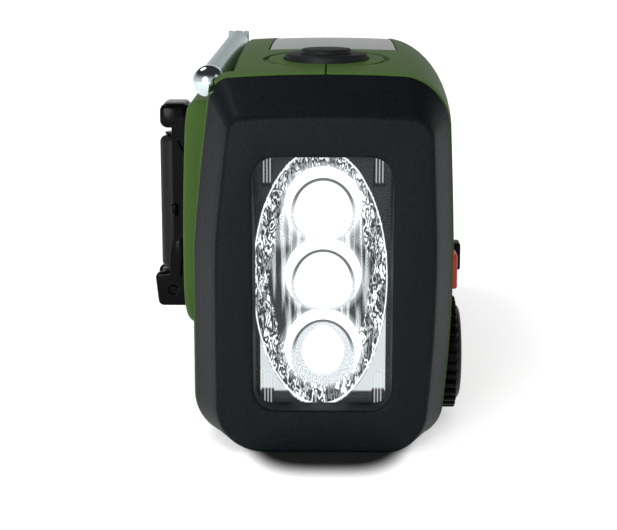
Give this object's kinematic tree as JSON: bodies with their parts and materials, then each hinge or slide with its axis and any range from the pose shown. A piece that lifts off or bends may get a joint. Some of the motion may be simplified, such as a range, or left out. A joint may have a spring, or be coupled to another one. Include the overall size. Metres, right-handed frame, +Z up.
{
  "type": "hand crank radio with lamp",
  "caption": "Portable hand-cranked radio with an end lamp behind a clear window, a fold-out crank, a telescopic antenna, a top solar panel, a lamp button and side controls.",
  "frame": {"origin": "centre of the rubber base pad's underside, midway between the two ends", "axes": "+Z up, -Y out of the lamp window, +Y towards the tail cap, -X the crank side, +X the control side"},
  "size_m": [0.0738, 0.165, 0.0827],
  "materials": {
    "shell_green": "fine satin moulded plastic, olive green",
    "cap_black": "spark-textured moulded plastic, near black",
    "rubber_black": "matte rubber",
    "control_black": "satin moulded plastic, black",
    "crank_black": "glossy moulded plastic, black",
    "grip_black": "fine pebbled plastic, black",
    "clear": "clear moulded plastic",
    "chrome": "vacuum-metallised mirror",
    "bulb": "clear lit bulb",
    "steel": "satin nickel-plated steel",
    "brass": "turned brass",
    "board": "green circuit board",
    "solar": "laminated solar cell under a clear film",
    "gear_white": "natural moulded nylon",
    "alarm_red": "satin moulded plastic, red",
    "display": "dark liquid-crystal glass, blank",
    "speaker_cone": "coated paper and steel, black",
    "battery_wrap": "plain shrink wrap, blue"
  },
  "bodies": {
    "root": {"front_shell": "shell_green", "rear_shell": "shell_green", "lamp_bezel": "cap_black", "tail_cap": "cap_black", "base_pad": "rubber_black", "speaker_grille": "control_black", "lamp_switch": "control_black", "alarm_switch": "control_black", "lamp_lens": "clear", "display_window": "clear", "lamp_reflector": "chrome", "lamp_bulb_1": "bulb", "lamp_bulb_2": "bulb", "lamp_bulb_3": "bulb", "idler_axle": "steel", "generator": "steel", "shell_screw_1": "steel", "shell_screw_2": "steel", "shell_screw_3": "steel", "shell_screw_4": "steel", "tuner": "steel", "volume_control": "steel", "band_switch": "steel", "usb_socket": "steel", "charge_socket": "steel", "lamp_board": "board", "top_board": "board", "main_board": "board", "port_board": "board", "solar_panel": "solar", "gear_plate": "gear_white", "display_carrier": "gear_white", "display_module": "display", "speaker": "speaker_cone", "battery": "battery_wrap"},
    "crank": {"crank_arm": "crank_black", "crank_shaft": "steel", "hub_screw": "steel", "fork_pin": "steel", "drive_gear": "gear_white"},
    "grip_fork": {"grip_root": "crank_black"},
    "grip": {"crank_grip": "grip_black"},
    "idler": {"idler_gear": "gear_white"},
    "rotor": {"generator_pinion": "brass", "generator_shaft": "steel"},
    "antenna_swivel": {"antenna_base": "steel", "antenna_pin": "steel"},
    "antenna_mast": {"antenna_tube": "steel"},
    "antenna_middle": {"antenna_inner_tube": "steel"},
    "antenna_end": {"antenna_rod": "steel", "antenna_tip": "chrome"},
    "lamp_key": {"lamp_button": "rubber_black"},
    "alarm_key": {"alarm_button": "alarm_red"},
    "band_key": {"band_slider": "control_black"},
    "tuning": {"tuning_knob": "control_black"},
    "volume": {"volume_knob": "control_black"},
    "flap": {"port_flap": "rubber_black"}
  },
  "joints": [
    {"name": "crank_turn", "type": "hinge", "parent": "root", "child": "crank", "pos_m": [-0.0348, -0.0175, 0.0642], "axis": [-1, 0, 0], "continuous": true},
    {"name": "idler_turn", "type": "hinge", "parent": "root", "child": "idler", "pos_m": [-0.014, -0.0103, 0.05173], "axis": [-1, 0, 0], "continuous": true},
    {"name": "rotor_turn", "type": "hinge", "parent": "root", "child": "rotor", "pos_m": [-0.012, -0.01543, 0.03763], "axis": [-1, 0, 0], "continuous": true},
    {"name": "grip_fold", "type": "hinge", "parent": "crank", "child": "grip_fork", "pos_m": [-0.0373, -0.0175, 0.0216], "axis": [0, -1, 0], "range_deg": [0, 90]},
    {"name": "grip_spin", "type": "hinge", "parent": "grip_fork", "child": "grip", "pos_m": [-0.0373, -0.0175, 0.0426], "axis": [0, 0, 1], "continuous": true},
    {"name": "antenna_swivel", "type": "hinge", "parent": "root", "child": "antenna_swivel", "pos_m": [-0.0251, 0.0525, 0.073], "axis": [0, 0, -1], "range_deg": [0, 180]},
    {"name": "antenna_tilt", "type": "hinge", "parent": "antenna_swivel", "child": "antenna_mast", "pos_m": [-0.0251, 0.0525, 0.0766], "axis": [-1, 0, 0], "range_deg": [0, 90]},
    {"name": "antenna_draw_1", "type": "slide", "parent": "antenna_mast", "child": "antenna_middle", "axis": [0, -1, 0], "range_m": [0, 0.092]},
    {"name": "antenna_draw_2", "type": "slide", "parent": "antenna_middle", "child": "antenna_end", "axis": [0, -1, 0], "range_m": [0, 0.092]},
    {"name": "lamp_press", "type": "slide", "parent": "root", "child": "lamp_key", "axis": [0, 0, -1], "range_m": [0, 0.0012], "stiffness_N_per_m": 800},
    {"name": "alarm_press", "type": "slide", "parent": "root", "child": "alarm_key", "axis": [-1, 0, 0], "range_m": [0, 0.001], "stiffness_N_per_m": 500},
    {"name": "band_slide", "type": "slide", "parent": "root", "child": "band_key", "axis": [0, 1, 0], "range_m": [0, 0.005]},
    {"name": "tuning_turn", "type": "hinge", "parent": "root", "child": "tuning", "pos_m": [0.0277, -0.0545, 0.0149], "axis": [1, 0, 0], "continuous": true},
    {"name": "volume_turn", "type": "hinge", "parent": "root", "child": "volume", "pos_m": [0.0277, 0.0545, 0.0149], "axis": [1, 0, 0], "range_deg": [0, 300]},
    {"name": "flap_open", "type": "hinge", "parent": "root", "child": "flap", "pos_m": [0, 0.0814, 0.0321], "axis": [-1, 0, 0], "range_deg": [0, 90]}
  ],
  "couplings": [
    {"joint": "idler_turn", "follows": "crank_turn", "ratio": -3},
    {"joint": "rotor_turn", "follows": "crank_turn", "ratio": 12}
  ]
}
